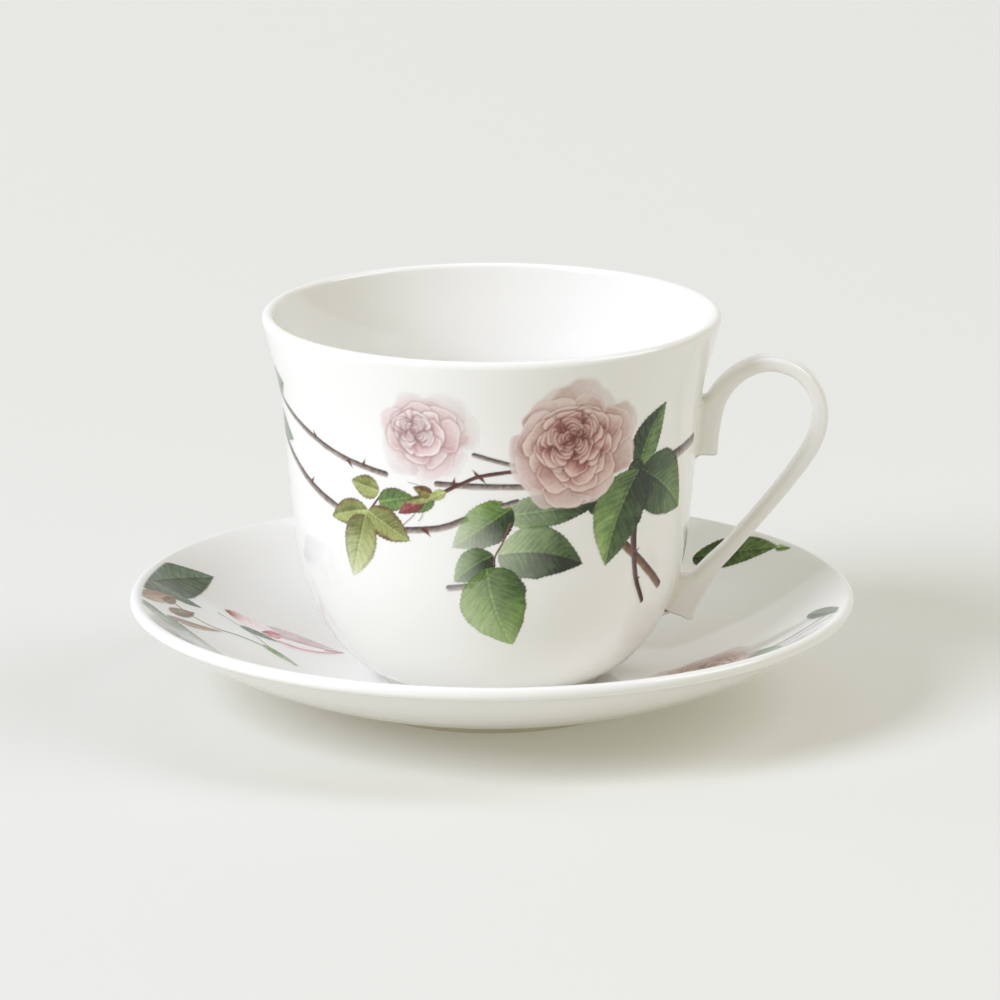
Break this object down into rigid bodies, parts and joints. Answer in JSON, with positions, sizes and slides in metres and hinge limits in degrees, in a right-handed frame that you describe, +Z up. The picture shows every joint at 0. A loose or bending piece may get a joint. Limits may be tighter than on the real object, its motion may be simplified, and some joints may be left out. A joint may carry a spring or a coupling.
{
  "type": "teacup and saucer",
  "caption": "Flared breakfast teacup with a loop handle, standing in its wide saucer; both carry printed rose sprays and the cup lifts off.",
  "frame": {"origin": "on the common axis of the cup and the saucer, in the plane that the saucer's foot ring stands on", "axes": "+Z up along the axis, +X towards the cup's handle, -Y towards the side with the large rose"},
  "size_m": [0.17, 0.17, 0.0928],
  "materials": {
    "saucer_glaze": "white bone china under a clear gloss glaze",
    "cup_glaze": "white bone china under a clear gloss glaze",
    "bare_china": "unglazed, polished bone china of the standing face",
    "slip_glaze": "glaze pooled over the joining slip",
    "cup_print": "fired ceramic transfer in pinks, greens and browns on white",
    "saucer_print": "fired ceramic transfer in greens, browns and pinks on white"
  },
  "bodies": {
    "saucer": {"saucer_dish": "saucer_glaze", "saucer_foot_ring": "bare_china", "saucer_left_transfer": "saucer_print", "saucer_right_transfer": "saucer_print"},
    "cup": {"cup_bowl": "cup_glaze", "cup_foot_ring": "bare_china", "cup_handle": "cup_glaze", "handle_upper_slip": "slip_glaze", "handle_lower_slip": "slip_glaze", "cup_front_transfer": "cup_print", "cup_back_transfer": "cup_print"}
  },
  "joints": [
    {"name": "cup_lift", "type": "slide", "parent": "saucer", "child": "cup", "axis": [0, 0, 1], "range_m": [0, 0.1]}
  ]
}
